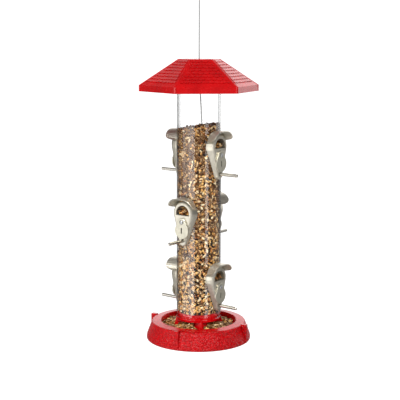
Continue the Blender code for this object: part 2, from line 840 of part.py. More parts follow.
def build_tray_seed(finish):
    """The seed round the hub, heaped against it and lower at the tray's wall."""
    profile = [
        (0.0200, TRAY_MIDDLE + GAP),
        (0.0418, TRAY_MIDDLE + GAP),
        (0.0434, TRAY_FLOOR + GAP),
        (0.0488, TRAY_FLOOR + GAP),
        (0.0502, 0.0037),
        (0.0517, 0.0063),
        (0.0526, TRAY_SEED_EDGE),
        (0.0400, TRAY_SEED_EDGE + 0.0006),
        (0.0310, TRAY_SEED_HEAP),
        (0.0200, TRAY_SEED_HEAP),
    ]
    seed = add_object("tray_seed", at_height(turned(profile, 40), up(0.0)), finish)
    # The hub's own taper, a gap wider and carried on down through the seed's underside.
    clear = SEED_GAP * math.sqrt(2)
    widening = (HUB_FOOT_CORNER - HUB_SHOULDER_CORNER) / (HUB_SHOULDER - HUB_BOTTOM)
    foot = square(HUB_FOOT_CORNER + HUB_BOTTOM * widening + clear, 0.0)
    shoulder = square(HUB_SHOULDER_CORNER + clear, HUB_SHOULDER)
    cut(seed, at_height(loft([foot, shoulder]), up(0.0)))
    return seed


def main():
    clear_scene()
    finishes = {
        "roof": material("roof_red", (0.55, 0.012, 0.020), 0.28),
        "tray": material("tray_red", (0.52, 0.012, 0.018), 0.42),
        "clear": material("clear_plastic", (0.92, 0.95, 0.95), 0.06, alpha=0.25),
        "port": material("port_pewter", (0.36, 0.34, 0.29), 0.36, 0.35),
        "flap": material("flap_pewter", (0.38, 0.36, 0.31), 0.38, 0.35),
        "rivet": material("bright_steel", (0.62, 0.61, 0.60), 0.25, 1.0),
        "perch": material("perch_steel", (0.50, 0.48, 0.44), 0.30, 1.0),
        "cable": material("cable_steel", (0.55, 0.55, 0.55), 0.35, 1.0),
        "seed": material("mixed_seed", (0.33, 0.20, 0.08), 0.75),
    }
    build_roof(finishes["roof"])
    build_tube(finishes["clear"])
    build_hub(finishes["roof"])
    build_tray(finishes["tray"])
    build_screws(finishes["rivet"])
    build_ports(finishes)
    build_perches(finishes["perch"])
    build_cable(finishes)
    build_tube_seed(finishes["seed"])
    build_tray_seed(finishes["seed"])


main()
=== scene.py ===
"""The looks of the hanging tube bird feeder: shingles, loose seed, plastic, metal, cable and light.

Metres, +Z up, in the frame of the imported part. Heights are measured from the tray's underside, and
up() turns one into a Z coordinate.
"""

import math

import bpy
import numpy as np
from mathutils import Matrix, Vector


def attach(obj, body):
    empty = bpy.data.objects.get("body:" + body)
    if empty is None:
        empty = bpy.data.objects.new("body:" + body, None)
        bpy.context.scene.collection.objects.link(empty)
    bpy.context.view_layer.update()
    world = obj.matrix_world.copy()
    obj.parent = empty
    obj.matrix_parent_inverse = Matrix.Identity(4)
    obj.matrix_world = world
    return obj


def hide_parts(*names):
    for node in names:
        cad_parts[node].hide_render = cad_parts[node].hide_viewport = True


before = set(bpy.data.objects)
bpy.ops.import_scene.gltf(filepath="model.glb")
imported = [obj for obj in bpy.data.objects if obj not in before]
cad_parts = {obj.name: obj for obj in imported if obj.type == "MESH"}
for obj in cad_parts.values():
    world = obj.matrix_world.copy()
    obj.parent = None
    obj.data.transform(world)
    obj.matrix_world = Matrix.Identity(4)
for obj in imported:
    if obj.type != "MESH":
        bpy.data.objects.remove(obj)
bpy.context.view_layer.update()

HANG_POINT = 0.5238  # height of the loop's inner top, where Z is 0
FLOOR_HEIGHT = -1.70  # this one is a Z coordinate
FLOOR_HALF = 12.0

# The camera, a little above the roof and looking a little down. Its height is a Z coordinate.
CAMERA_DISTANCE = 1.4298
CAMERA_HEIGHT = -0.0986
CAMERA_TURN = math.radians(37.5)
CAMERA_PITCH = math.radians(7.947)
CAMERA_ROLL = math.radians(0.141)
CAMERA_LENS = 93.06
CAMERA_SHIFT = (0.0029, -0.05)

# The cable.
CABLE_RADIUS = 0.00075
CABLE_TOP = 0.4817
CABLE_ROUTE = (
    (0.0000, 0.0000, 0.0040),
    (0.0000, 0.0000, 0.0180),
    (0.0001, 0.0002, 0.0300),
    (0.0018, 0.0026, 0.0400),
    (0.0034, 0.0042, 0.0512),
    (0.0042, 0.0046, 0.0700),
    (0.0045, 0.0045, 0.1050),
    (0.0047, 0.0046, 0.1425),
    (0.0047, 0.0047, 0.1900),
    (0.0045, 0.0046, 0.2350),
    (0.0038, 0.0038, 0.2700),
    (0.0029, 0.0029, 0.3020),
    (0.0019, 0.0019, 0.3300),
    (0.0010, 0.0010, 0.3550),
    (0.0003, 0.0003, 0.3800),
    (0.0000, 0.0000, 0.4000),
    (0.0000, 0.0000, 0.4400),
    (0.0000, 0.0000, CABLE_TOP),
)

# The roof's slopes.
ROOF_SIDES = 6
ROOF_TURN = math.radians(-75)
ROOF_RADIUS = 0.0832
ROOF_TOP_RADIUS = 0.0288
ROOF_TOP = 0.3937
FASCIA_TOP = 0.3581
SHINGLE_START = 0.0006  # down the slope from its top edge
SHINGLE_PITCH = 0.0063
SHINGLE_WIDTH = 0.0082
SHINGLE_COURSES = 8
SHINGLE_BORDER = 0.0046
SHINGLE_STEP = 0.0007  # how far a shingle's lower edge stands out
SHINGLE_JOINT = 0.0005
SHINGLE_CORNER = 0.0011

# The seed in the tube, whose inside is a 40-sided hollow of radius 29 mm.
WALL_RADIUS = 0.0288
SEED_FOOT = 0.0392
SEED_TOP = 0.3005
HEAP_SLOPE = 0.13  # how fast the fill's top rises towards the picture's right
WALL_SEED_AREA = 7.0e-6  # of the wall, for each seed
WALL_SEED_SIZE = 0.82
WALL_SEED_TILT = 0.28  # in radians, the spread of the seeds' tilts
WALL_SEED_DEPTH = 0.0007  # how far, on average, a seed lies behind the wall
SUNFLOWER_DEPTH = 0.0006  # what is added to that for sunflower seeds
WALL_BANDS = 5
BAND_MARGIN = 0.006  # how far the bands reach above SEED_TOP, for the heap's high side
DARK_AT_FOOT = 0.20  # the share of sunflower seeds at the foot
DARK_RISE = 0.65  # and how much it grows to the top
DARK_PATCHES = 0.20  # how much it goes up and down between the two
DARK_LIMITS = (0.05, 0.90)
TOP_SEEDS = 900
TOP_SEED_RADIUS = 0.0272
TOP_SEED_TILT = 0.35
TOP_DARK = 0.42
CORE_RADIUS = 0.0252
CORE_TOP = 0.2900
CORE_FOOT = 0.0352
CORE_STEPS = 32
CORE_HOLE = 0.0005

# The ports' levels and turns, and what is measured on one, up from its perch and out from the tube's axis.
PORTS = ((0.2368, 0), (0.2368, 180), (0.1447, -90), (0.1447, 90), (0.0518, 0), (0.0518, 180))
PORT_NAMES = ("top_right", "top_left", "middle_front", "middle_back", "bottom_right", "bottom_left")
SLOT_HEIGHT = 0.0147
SLOT_BACK = 0.0373
SLOT_FRONT = 0.0382
SLOT_HALF_WIDTH = 0.0010
SLOT_HALF_HEIGHT = 0.0043
SLOT_POINTS = 16  # round its outline
WINDOW_CENTRE = 0.0379
WINDOW_RADIUS = 0.0115
WINDOW_SILL = 0.0354
WINDOW_MARGIN = 0.004  # the sleeve and half a seed, round the window
WINDOW_LIMIT = 0.0355  # how far out the seed in a window reaches
WINDOW_SEEDS = 90
WINDOW_SEED_SIZE = 0.85
WINDOW_SEED_TILT = 0.5
WINDOW_DARK = 0.40
WINDOW_MILO = 0.4  # of the dark ones, the share that turn into milo
PILE_INNER = 0.0250
PILE_OUTER = 0.0335
PILE_HALF_WIDTH = 0.0075
PILE_HEIGHT = 0.0100  # at its inner end
PILE_SLOPE = 0.75

# The tray, the hub in it, and the seed in the tray.
TRAY_WALL = 0.0522
HUB_HALF = 0.0242
HUB_MARGIN = 0.0022
ARCH_HALF = 0.0080
TRAY_SEEDS = 1500
TRAY_SEED_SIZE = 1.28
TRAY_SEED_TILT = 0.32
TRAY_DARK = 0.40
TRAY_SEED_INNER = 0.0180
TRAY_SEED_OUTER = 0.0505
TRAY_SEED_DEPTH = 0.0011
CORNER_HOLLOW = 0.0040  # how much lower the heap is in front of the hub's corners
CORNER_REACH = 0.0090
TRAY_HEAP = ((0.018, 0.0262), (0.026, 0.0250), (0.034, 0.0222), (0.044, 0.0196), (0.053, 0.0188))
TRAY_BED_STEPS = 40
TRAY_BED = (
    (0.0190, 0.0070),
    (0.0416, 0.0070),
    (0.0436, 0.0032),
    (0.0490, 0.0032),
    (0.0515, 0.0063),
    (0.0519, 0.0152),
    (0.0440, 0.0148),
    (0.0340, 0.0158),
    (0.0190, 0.0215),
)

# Where the tray's outer wall has its pebbled texture: it fades in between these radii and heights.
PEBBLE_RADII = (0.0640, 0.0652)
PEBBLE_HEIGHTS = (0.0256, 0.0246)

# The light.
SEEN_WHITE = 1.28  # how bright the backdrop is where the camera sees it, straight or through the tube
BRIGHT_TURN = math.radians(158)  # the middle of the bright side, nearly behind the feeder
BRIGHT_EDGES = (0.56, 0.86)  # cosines from that middle, between which the light grows
DIM_LIGHT = 0.10
BRIGHT_LIGHT = 1.7
LIGHT_TARGET = 0.20

# Each softbox: its turn in degrees, its distance and height, its sides, and its watts.
SOFTBOXES = {
    "key": (-43, 1.6, -0.48, (0.75, 1.4), 10.0),
    "side": (-76, 1.6, -0.48, (0.8, 1.4), 5.4),
    "fill": (37, 1.7, -0.35, (0.35, 1.9), 6.0),
    "top": (-4, 1.2, 1.10, (0.9, 0.9), 40.0),
}

rng = np.random.default_rng(7)


def up(height):
    return height - HANG_POINT


# ---- camera ----------------------------------------------------------------------------------


def turned_by(angle):
    """A level unit vector: 0 points at the camera, and positive angles turn to the picture's right."""
    turn = CAMERA_TURN + angle
    return Vector((math.sin(turn), -math.cos(turn), 0.0))


def add_camera():
    data = bpy.data.cameras.new("camera")
    data.lens = CAMERA_LENS
    data.sensor_width = 36.0
    data.shift_x, data.shift_y = CAMERA_SHIFT
    camera = bpy.data.objects.new("camera", data)
    spot = turned_by(0.0) * CAMERA_DISTANCE + Vector((0.0, 0.0, CAMERA_HEIGHT))
    aim = Matrix.Rotation(CAMERA_TURN, 4, "Z")
    aim = aim @ Matrix.Rotation(math.pi / 2 - CAMERA_PITCH, 4, "X")
    aim = aim @ Matrix.Rotation(CAMERA_ROLL, 4, "Z")
    camera.matrix_world = Matrix.Translation(spot) @ aim
    bpy.context.scene.collection.objects.link(camera)
    bpy.context.scene.camera = camera


# ---- materials -------------------------------------------------------------------------------


class Finish:
    """A material's node tree, with short ways to add the nodes that the finishes share."""

    def __init__(self, name):
        self.material = bpy.data.materials.new(name)
        self.material.use_nodes = True
        self.tree = self.material.node_tree
        self.shader = self.tree.nodes["Principled BSDF"]
        self.output = self.tree.nodes["Material Output"]

    def node(self, kind, **inputs):
        made = self.tree.nodes.new(kind)
        for key, value in inputs.items():
            self.put(made.inputs[key.replace("_", " ")], value)
        return made

    def put(self, socket, value):
        if isinstance(value, bpy.types.NodeSocket):
            self.tree.links.new(value, socket)
        else:
            socket.default_value = value

    def math(self, operation, first, second=0.0):
        made = self.tree.nodes.new("ShaderNodeMath")
        made.operation = operation
        self.put(made.inputs[0], first)
        self.put(made.inputs[1], second)
        return made.outputs[0]

    def place(self):
        return self.tree.nodes.new("ShaderNodeTexCoord").outputs["Object"]

    def noise(self, scale, detail=2.0):
        made = self.node("ShaderNodeTexNoise", Vector=self.place(), Scale=scale, Detail=detail)
        return made.outputs["Fac"]

    def ramp(self, factor, *stops):
        """A colour ramp. Each stop is a position and a colour."""
        made = self.tree.nodes.new("ShaderNodeValToRGB")
        self.put(made.inputs["Fac"], factor)
        elements = made.color_ramp.elements
        while len(elements) < len(stops):
            elements.new(0.5)
        for element, (position, colour) in zip(elements, stops):
            element.position = position
            element.color = (*colour, 1.0)
        return made.outputs["Color"]

    def between(self, factor, low, high):
        made = self.node("ShaderNodeMapRange", Value=factor, To_Min=low, To_Max=high)
        return made.outputs["Result"]

    def bump(self, height, strength, distance):
        made = self.node("ShaderNodeBump", Height=height, Strength=strength, Distance=distance)
        return made.outputs["Normal"]

    def shade(self, **inputs):
        for key, value in inputs.items():
            self.put(self.shader.inputs[key.replace("_", " ")], value)
        return self.material


def red_plastic(name, dark, light, roughness):
    """Moulded red plastic, a little uneven in colour and gloss."""
    finish = Finish(name)
    colour = finish.ramp(finish.noise(45.0), (0.3, dark), (0.7, light))
    gloss = finish.between(finish.noise(160.0), roughness - 0.05, roughness + 0.08)
    normal = finish.bump(finish.noise(1400.0, 3.0), 0.10, 0.0003)
    return finish.shade(Base_Color=colour, Roughness=gloss, Normal=normal, Specular_IOR_Level=0.36)


def pebbled_red(name):
    """The tray's plastic: smooth on its rim and inside, with a coarse pebbled texture on its outer wall."""
    finish = Finish(name)
    place = finish.place()
    split = finish.node("ShaderNodeSeparateXYZ", Vector=place)
    across = finish.math("POWER", split.outputs["X"], 2.0)
    along = finish.math("POWER", split.outputs["Y"], 2.0)
    radius = finish.math("SQRT", finish.math("ADD", across, along))
    start, full = PEBBLE_RADII
    outside = finish.node("ShaderNodeMapRange", Value=radius, From_Min=start, From_Max=full)
    start, full = (up(height) for height in PEBBLE_HEIGHTS)
    below = finish.node("ShaderNodeMapRange", Value=split.outputs["Z"], From_Min=start, From_Max=full)
    mask = finish.math("MULTIPLY", outside.outputs["Result"], below.outputs["Result"])
    cells = finish.tree.nodes.new("ShaderNodeTexVoronoi")
    cells.feature = "SMOOTH_F1"
    finish.put(cells.inputs["Vector"], place)
    finish.put(cells.inputs["Scale"], 520.0)
    pebbles = finish.math("MULTIPLY", finish.math("SUBTRACT", 1.0, cells.outputs["Distance"]), mask)
    normal = finish.bump(pebbles, 1.0, 0.0016)
    colour = finish.ramp(finish.noise(380.0), (0.3, (0.30, 0.000, 0.001)), (0.7, (0.56, 0.000, 0.003)))
    gloss = finish.math("ADD", 0.22, finish.math("MULTIPLY", mask, 0.10))
    return finish.shade(Base_Color=colour, Roughness=gloss, Normal=normal, Specular_IOR_Level=0.24)


def satin_metal(name, colour, roughness, metallic):
    """Cast or coated metal with a fine grain."""
    finish = Finish(name)
    dark = tuple(value * 0.86 for value in colour)
    shade = finish.ramp(finish.noise(260.0, 4.0), (0.3, dark), (0.7, colour))
    gloss = finish.between(finish.noise(700.0), roughness - 0.05, roughness + 0.07)
    normal = finish.bump(finish.noise(3000.0), 0.06, 0.0002)
    return finish.shade(Base_Color=shade, Roughness=gloss, Metallic=metallic, Normal=normal)


def twisted_steel(name):
    """Galvanised wire rope: fine slanting strands."""
    finish = Finish(name)
    wave = finish.node("ShaderNodeTexWave", Vector=finish.place(), Scale=260.0, Distortion=1.0)
    wave.bands_direction = "DIAGONAL"
    colour = finish.ramp(wave.outputs["Fac"], (0.2, (0.16, 0.16, 0.16)), (0.8, (0.30, 0.30, 0.29)))
    normal = finish.bump(wave.outputs["Fac"], 0.5, 0.0002)
    return finish.shade(Base_Color=colour, Roughness=0.34, Metallic=0.75, Normal=normal)


def clear_plastic(name):
    """Clear tube plastic that bends what is behind it and lets light through to the seed."""
    finish = Finish(name)
    haze = finish.ramp(finish.noise(30.0), (0.3, (0.990, 0.994, 0.996)), (0.7, (1.0, 1.0, 1.0)))
    gloss = finish.between(finish.noise(120.0), 0.012, 0.035)
    finish.shade(Base_Color=haze, Roughness=gloss, IOR=1.40, Transmission_Weight=1.0)
    rays = finish.tree.nodes.new("ShaderNodeLightPath")
    passing = finish.math("MAXIMUM", rays.outputs["Is Shadow Ray"], rays.outputs["Is Diffuse Ray"])
    through = finish.node("ShaderNodeBsdfTransparent", Color=(0.96, 0.97, 0.97, 1.0))
    mixed = finish.tree.nodes.new("ShaderNodeMixShader")
    finish.put(mixed.inputs[0], passing)
    finish.put(mixed.inputs[1], finish.shader.outputs["BSDF"])
    finish.put(mixed.inputs[2], through.outputs["BSDF"])
    finish.put(finish.output.inputs["Surface"], mixed.outputs["Shader"])
    return finish.material


def seed_finish(name, dark, light, roughness):
    """Seed coats whose tone differs from one seed to the next. With no tone, they stay near dark."""
    finish = Finish(name)
    tone = finish.node("ShaderNodeAttribute")
    tone.attribute_name = "tone"
    uneven = finish.math("ADD", tone.outputs["Fac"], finish.math("MULTIPLY", finish.noise(900.0), 0.35))
    colour = finish.ramp(finish.math("SUBTRACT", uneven, 0.17), (0.0, dark), (1.0, light))
    normal = finish.bump(finish.noise(2200.0), 0.25, 0.0003)
    return finish.shade(Base_Color=colour, Roughness=roughness, Normal=normal, Specular_IOR_Level=0.2)


def striped_seed(name):
    """Sunflower seed: dark, with pale stripes along it that are stronger on some seeds."""
    finish = Finish(name)
    tone = finish.node("ShaderNodeAttribute")
    tone.attribute_name = "tone"
    stripe = finish.node("ShaderNodeAttribute")
    stripe.attribute_name = "stripe"
    wave = finish.math("SINE", finish.math("MULTIPLY", stripe.outputs["Fac"], 6.0))
    wave = finish.math("ADD", wave, finish.math("MULTIPLY", finish.noise(500.0), 0.8))
    shown = finish.math("MULTIPLY", finish.math("SUBTRACT", wave, 0.55), tone.outputs["Fac"])
    colour = finish.ramp(
        finish.math("MULTIPLY", shown, 1.6),
        (0.0, (0.085, 0.030, 0.005)),
        (0.35, (0.22, 0.088, 0.024)),
        (1.0, (0.74, 0.50, 0.26)),
    )
    normal = finish.bump(finish.noise(1800.0), 0.2, 0.0003)
    return finish.shade(Base_Color=colour, Roughness=0.5, Normal=normal, Specular_IOR_Level=0.12)


def make_finishes():
    return {
        "roof": red_plastic("roof_red_fine", (0.34, 0.001, 0.002), (0.44, 0.002, 0.003), 0.24),
        "hub": red_plastic("hub_red_fine", (0.50, 0.000, 0.002), (0.66, 0.001, 0.004), 0.20),
        "tray": pebbled_red("tray_red_fine"),
        "clear": clear_plastic("clear_plastic_fine"),
        "port": satin_metal("port_pewter_fine", (0.60, 0.56, 0.47), 0.32, 0.85),
        "flap": satin_metal("flap_pewter_fine", (0.57, 0.54, 0.44), 0.34, 0.80),
        "rivet": satin_metal("bright_steel_fine", (0.52, 0.52, 0.52), 0.34, 1.0),
        "perch": satin_metal("perch_steel_fine", (0.66, 0.62, 0.55), 0.22, 1.0),
        # painted shadow: a near-black finish for the plates in the flaps' slots
        "shadow": satin_metal("slot_painted_shadow", (0.012, 0.011, 0.010), 0.70, 0.0),
        "cable": twisted_steel("cable_steel_fine"),
        "sunflower": striped_seed("sunflower_seed"),
        "kernel": seed_finish("hulled_seed", (0.58, 0.29, 0.09), (1.0, 0.84, 0.54), 0.42),
        "corn": seed_finish("cracked_corn", (0.44, 0.16, 0.03), (0.95, 0.57, 0.18), 0.38),
        "millet": seed_finish("millet_seed", (0.64, 0.34, 0.10), (0.98, 0.72, 0.35), 0.36),
        "milo": seed_finish("milo_seed", (0.22, 0.062, 0.016), (0.56, 0.21, 0.06), 0.40),
        # painted shade: near-black seed colour for the solids behind the loose seeds
        "core": seed_finish("seed_painted_shade", (0.020, 0.011, 0.006), (0.10, 0.055, 0.02), 0.8),
    }


def repaint(node, finish):
    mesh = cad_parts[node].data
    for index in range(len(mesh.materials)):
        mesh.materials[index] = finish


def paint_cad(finishes):
    """The CAD pieces that stay as they are get the fine finishes."""
    choices = {
        "roof": "roof",
        "tube_hub": "hub",
        "base_tray": "tray",
        "seed_tube": "clear",
        "hang_loop": "cable",
        "cable_ferrule": "rivet",
        "cable_stop": "rivet",
    }
    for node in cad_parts:
        ending = node.rsplit("_", 1)[-1]
        if node in choices:
            repaint(node, finishes[choices[node]])
        elif ending in ("port", "flap", "rivet", "perch"):
            repaint(node, finishes[ending])
        elif node.startswith("hub_screw"):
            repaint(node, finishes["rivet"])


# ---- building blocks -------------------------------------------------------------------------


def add_piece(name, vertices, faces, finishes, body, smooth=True):
    mesh = bpy.data.meshes.new(name)
    mesh.from_pydata(vertices, [], faces)
    for finish in finishes:
        mesh.materials.append(finish)
    if smooth:
        mesh.shade_smooth()
    piece = bpy.data.objects.new(name, mesh)
    bpy.context.scene.collection.objects.link(piece)
    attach(piece, body)
    return piece


def lathe(profile, steps):
    """The points and faces of a closed outline of radius and height, turned about the Z axis."""
    angles = [2 * math.pi * step / steps for step in range(steps)]
    points = [(r * math.cos(a), r * math.sin(a), up(z)) for a in angles for r, z in profile]
    count = len(profile)
    faces = []
    for step in range(steps):
        here, there = step * count, (step + 1) % steps * count
        for spot in range(count):
            after = (spot + 1) % count
            faces.append((here + spot, there + spot, there + after, here + after))
    return points, faces


# ---- cable -----------------------------------------------------------------------------------


def smooth_through(route, steps=9):
    """Points on a smooth curve through the route's points, by Catmull-Rom spans."""
    points = [Vector((x, y, up(z))) for x, y, z in route]
    ends = [points[0] * 2 - points[1], *points, points[-1] * 2 - points[-2]]
    dense = []
    for before, start, end, after in zip(ends, ends[1:], ends[2:], ends[3:]):
        for step in range(steps):
            t = step / steps
            bend = before * 2 - start * 5 + end * 4 - after
            twist = start * 3 - before - end * 3 + after
            dense.append((start * 2 + (end - before) * t + bend * t * t + twist * t**3) / 2)
    dense.append(points[-1])
    return dense


def add_cable(finishes):
    points = smooth_through(CABLE_ROUTE)
    curve = bpy.data.curves.new("steel_cable", "CURVE")
    curve.dimensions = "3D"
    curve.bevel_depth = CABLE_RADIUS
    curve.bevel_resolution = 3
    curve.use_fill_caps = True
    curve.materials.append(finishes["cable"])
    spline = curve.splines.new("POLY")
    spline.points.add(len(points) - 1)
    for target, point in zip(spline.points, points):
        target.co = (*point, 1.0)
    cable = bpy.data.objects.new("steel_cable", curve)
    bpy.context.scene.collection.objects.link(cable)
    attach(cable, "feeder")
    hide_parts("hanging_cable")
    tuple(points[0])
    sum((b - a).length for a, b in zip(points, points[1:]))


# ---- shingles --------------------------------------------------------------------------------


def half_width(v, length):
    """Half the width of the shingled area, at v down a slope of this length."""
    return (ROOF_TOP_RADIUS + (ROOF_RADIUS - ROOF_TOP_RADIUS) * v / length) / 2 - SHINGLE_BORDER


def slope_frame(side):
    """The middle of a slope's top edge, its unit vectors across, down and out, and its length."""
    to_flat = math.cos(math.pi / ROOF_SIDES)
    turn = ROOF_TURN + math.pi / ROOF_SIDES + side * 2 * math.pi / ROOF_SIDES
    outward = Vector((math.cos(turn), math.sin(turn), 0.0))
    top = outward * ROOF_TOP_RADIUS * to_flat + Vector((0.0, 0.0, up(ROOF_TOP)))
    foot = outward * ROOF_RADIUS * to_flat + Vector((0.0, 0.0, up(FASCIA_TOP)))
    across = Vector((-math.sin(turn), math.cos(turn), 0.0))
    down = (foot - top).normalized()
    return top, across, down, down.cross(across), (foot - top).length


def shingle(low_u, low_v, length):
    """One tab as (u, v, height) rows: its outline on the slope, then the same outline raised."""
    high_u = low_u + SHINGLE_WIDTH - SHINGLE_JOINT
    high_v = low_v + SHINGLE_PITCH
    corner = SHINGLE_CORNER
    outline = [(low_u, low_v), (high_u, low_v), (high_u, high_v - corner), (high_u - corner, high_v)]
    outline += [(low_u + corner, high_v), (low_u, high_v - corner)]
    clipped = [(max(-half_width(v, length), min(half_width(v, length), u)), v) for u, v in outline]
    base = [(u, v, -0.0001) for u, v in clipped]
    top = [(u, v, 0.0002 + SHINGLE_STEP * (v - low_v) / SHINGLE_PITCH) for u, v in clipped]
    return base + top


def tab_starts(course, reach):
    """Where the tabs of a course start, with every other course moved on by half a tab."""
    stagger = SHINGLE_WIDTH * (0.5 if course % 2 else 0.0)
    low_u = -math.ceil((reach + stagger) / SHINGLE_WIDTH) * SHINGLE_WIDTH + stagger
    while low_u < reach - SHINGLE_CORNER:
        if low_u + SHINGLE_WIDTH - SHINGLE_JOINT > SHINGLE_CORNER - reach:
            yield low_u
        low_u += SHINGLE_WIDTH


def tab_faces(first):
    """The top, the underside and the six edges of a tab whose twelve points start at first."""
    faces = [tuple(range(first + 6, first + 12)), tuple(range(first + 5, first - 1, -1))]
    for spot in range(6):
        after = (spot + 1) % 6
        faces.append((first + spot, first + after, first + 6 + after, first + 6 + spot))
    return faces


def add_shingles(finishes):
    vertices, faces = [], []
    for side in range(ROOF_SIDES):
        top, across, down, outward, length = slope_frame(side)
        for course in range(SHINGLE_COURSES):
            low_v = SHINGLE_START + course * SHINGLE_PITCH
            for low_u in tab_starts(course, half_width(low_v + SHINGLE_PITCH, length)):
                faces += tab_faces(len(vertices))
                for u, v, height in shingle(low_u, low_v, length):
                    vertices.append(tuple(top + across * u + down * v + outward * height))
    piece = add_piece("roof_shingles", vertices, faces, [finishes["roof"]], "roof", smooth=False)


def add_painted_slot_shadows(finishes):
    """Dark plates at the bottoms of the slots in the flaps: painted shadow for the slots' depth."""
    for (level, turn), name in zip(PORTS, PORT_NAMES):
        spin = math.radians(turn)
        outward = Vector((math.cos(spin), math.sin(spin), 0.0))
        across = Vector((-math.sin(spin), math.cos(spin), 0.0))
        middle = Vector((0.0, 0.0, up(level + SLOT_HEIGHT)))
        straight = SLOT_HALF_HEIGHT - SLOT_HALF_WIDTH
        rings = []
        for depth in (SLOT_BACK, SLOT_FRONT):
            for step in range(SLOT_POINTS):
                angle = 2 * math.pi * (step + 0.5) / SLOT_POINTS
                rise = math.copysign(straight, math.sin(angle)) + SLOT_HALF_WIDTH * math.sin(angle)
                side = across * SLOT_HALF_WIDTH * math.cos(angle)
                rings.append(tuple(middle + outward * depth + side + Vector((0.0, 0.0, rise))))
        faces = [tuple(range(SLOT_POINTS)), tuple(range(2 * SLOT_POINTS - 1, SLOT_POINTS - 1, -1))]
        for step in range(SLOT_POINTS):
            after = (step + 1) % SLOT_POINTS
            faces.append((step, SLOT_POINTS + step, SLOT_POINTS + after, after))
        # each plate is painted shadow, darkening the slot where the port's face would show
        piece = add_piece(f"{name}_slot", rings, faces, [finishes["shadow"]], f"{name}_flap", smooth=False)


# ---- seed ------------------------------------------------------------------------------------

# Rings along a seed: places on its length, and radii in its width and thickness.
DROP_RINGS = ((-0.50, 0.10), (-0.40, 0.33), (-0.18, 0.49), (0.08, 0.44), (0.32, 0.25), (0.47, 0.08))
ROUND_RINGS = ((-0.42, 0.27), (-0.18, 0.46), (0.18, 0.46), (0.42, 0.27))
CHUNK_RINGS = ((-0.48, 0.30), (-0.40, 0.46), (0.30, 0.36), (0.48, 0.18))

# Each kind: its length, width and thickness in millimetres, its points round, and its rings.
KINDS = {
    "sunflower": ((9.6, 5.0, 3.2), 8, DROP_RINGS),
    "kernel": ((7.0, 3.6, 2.3), 7, DROP_RINGS),
    "corn": ((4.8, 4.0, 2.8), 6, CHUNK_RINGS),
    "millet": ((2.4, 2.3, 2.2), 6, ROUND_RINGS),
    "milo": ((3.6, 3.4, 3.2), 7, ROUND_RINGS),
}

RING_SPAN = 0.97  # the rings are drawn in by this, so that the tips stay outside them

# How kernels, corn, millet and milo share what sunflower seeds leave.
PALE_SHARES = (0.26, 0.36, 0.20, 0.18)


def seed_template(kind):
    """Points, quads, triangles and stripe numbers of one seed of unit length, width and thickness."""
    _, around, rings = KINDS[kind]
    points = [(-0.5, 0.0, 0.0)]
    stripes = [0.0]
    for x, radius in rings:
        for step in range(around):
            angle = 2 * math.pi * step / around
            points.append((x * RING_SPAN, radius * math.cos(angle), radius * math.sin(angle)))
            stripes.append(math.cos(angle))
    points.append((0.5, 0.0, 0.0))
    stripes.append(0.0)
    quads = []
    for ring in range(len(rings) - 1):
        for step in range(around):
            after = (step + 1) % around
            low, high = 1 + ring * around, 1 + (ring + 1) * around
            quads.append((low + step, high + step, high + after, low + after))
    last = len(points) - 1
    top = last - around
    caps = [(0, 1 + step, 1 + (step + 1) % around) for step in range(around)]
    caps += [(last, top + (step + 1) % around, top + step) for step in range(around)]
    return np.array(points), np.array(quads), np.array(caps), np.array(stripes)


def turned_frames(normals, tilt):
    """A rotation for each seed: its flat side faces its normal, with a random spin and a random tilt."""
    count = len(normals)
    helper = np.where(np.abs(normals[:, 2:3]) < 0.9, [[0.0, 0.0, 1.0]], [[1.0, 0.0, 0.0]])
    side = np.cross(helper, normals)
    side /= np.linalg.norm(side, axis=1, keepdims=True)
    other = np.cross(normals, side)
    spin = rng.uniform(0.0, 2 * math.pi, (count, 1))
    lean = rng.normal(0.0, tilt, (count, 2))
    along = side * np.cos(spin) + other * np.sin(spin) + normals * lean[:, :1]
    along /= np.linalg.norm(along, axis=1, keepdims=True)
    across = np.cross(normals, along) + normals * lean[:, 1:]
    across -= along * np.sum(across * along, axis=1, keepdims=True)
    across /= np.linalg.norm(across, axis=1, keepdims=True)
    return np.stack([along, across, np.cross(along, across)], axis=2)


def add_seeds(name, kinds, spots, normals, tilt, finishes, keep_in, size=1.0):
    """A piece of many seeds. kinds names each one's kind, and keep_in moves points back inside."""
    frames_of = turned_frames(normals, tilt)
    sizes = rng.normal(1.0, 0.09, (len(spots), 3)).clip(0.75, 1.25) * size
    tones = rng.uniform(0.0, 1.0, len(spots))
    vertices, faces, slots, tone_rows, stripe_rows = [], [], [], [], []
    start = 0
    for slot_number, kind in enumerate(KINDS):
        chosen = np.flatnonzero(kinds == kind)
        points, quads, caps, stripes = seed_template(kind)
        scale = np.array(KINDS[kind][0]) / 1000 * sizes[chosen]
        local = points[None, :, :] * scale[:, None, :]
        placed = np.einsum("nij,nkj->nki", frames_of[chosen], local) + spots[chosen][:, None, :]
        vertices.append(placed.reshape(-1, 3))
        offsets = start + np.arange(len(chosen)) * len(points)
        for shape in (quads, caps):
            made = (shape[None, :, :] + offsets[:, None, None]).reshape(-1, shape.shape[1])
            faces += made.tolist()
            slots += [slot_number] * len(made)
        tone_rows.append(np.repeat(tones[chosen], len(points)))
        stripe_rows.append(np.tile(stripes, len(chosen)))
        start += len(chosen) * len(points)
    placed = keep_in(np.concatenate(vertices))
    piece = add_piece(name, placed.tolist(), faces, [finishes[kind] for kind in KINDS], "feeder")
    piece.data.polygons.foreach_set("material_index", slots)
    for label, rows in (("tone", tone_rows), ("stripe", stripe_rows)):
        attribute = piece.data.attributes.new(label, "FLOAT", "POINT")
        attribute.data.foreach_set("value", np.concatenate(rows).astype(np.float32))
    return piece


def within_radius(limit):
    def keep(points):
        radius = np.hypot(points[:, 0], points[:, 1])
        points[:, :2] *= np.minimum(1.0, limit / np.maximum(radius, 1e-9))[:, None]
        return points

    return keep


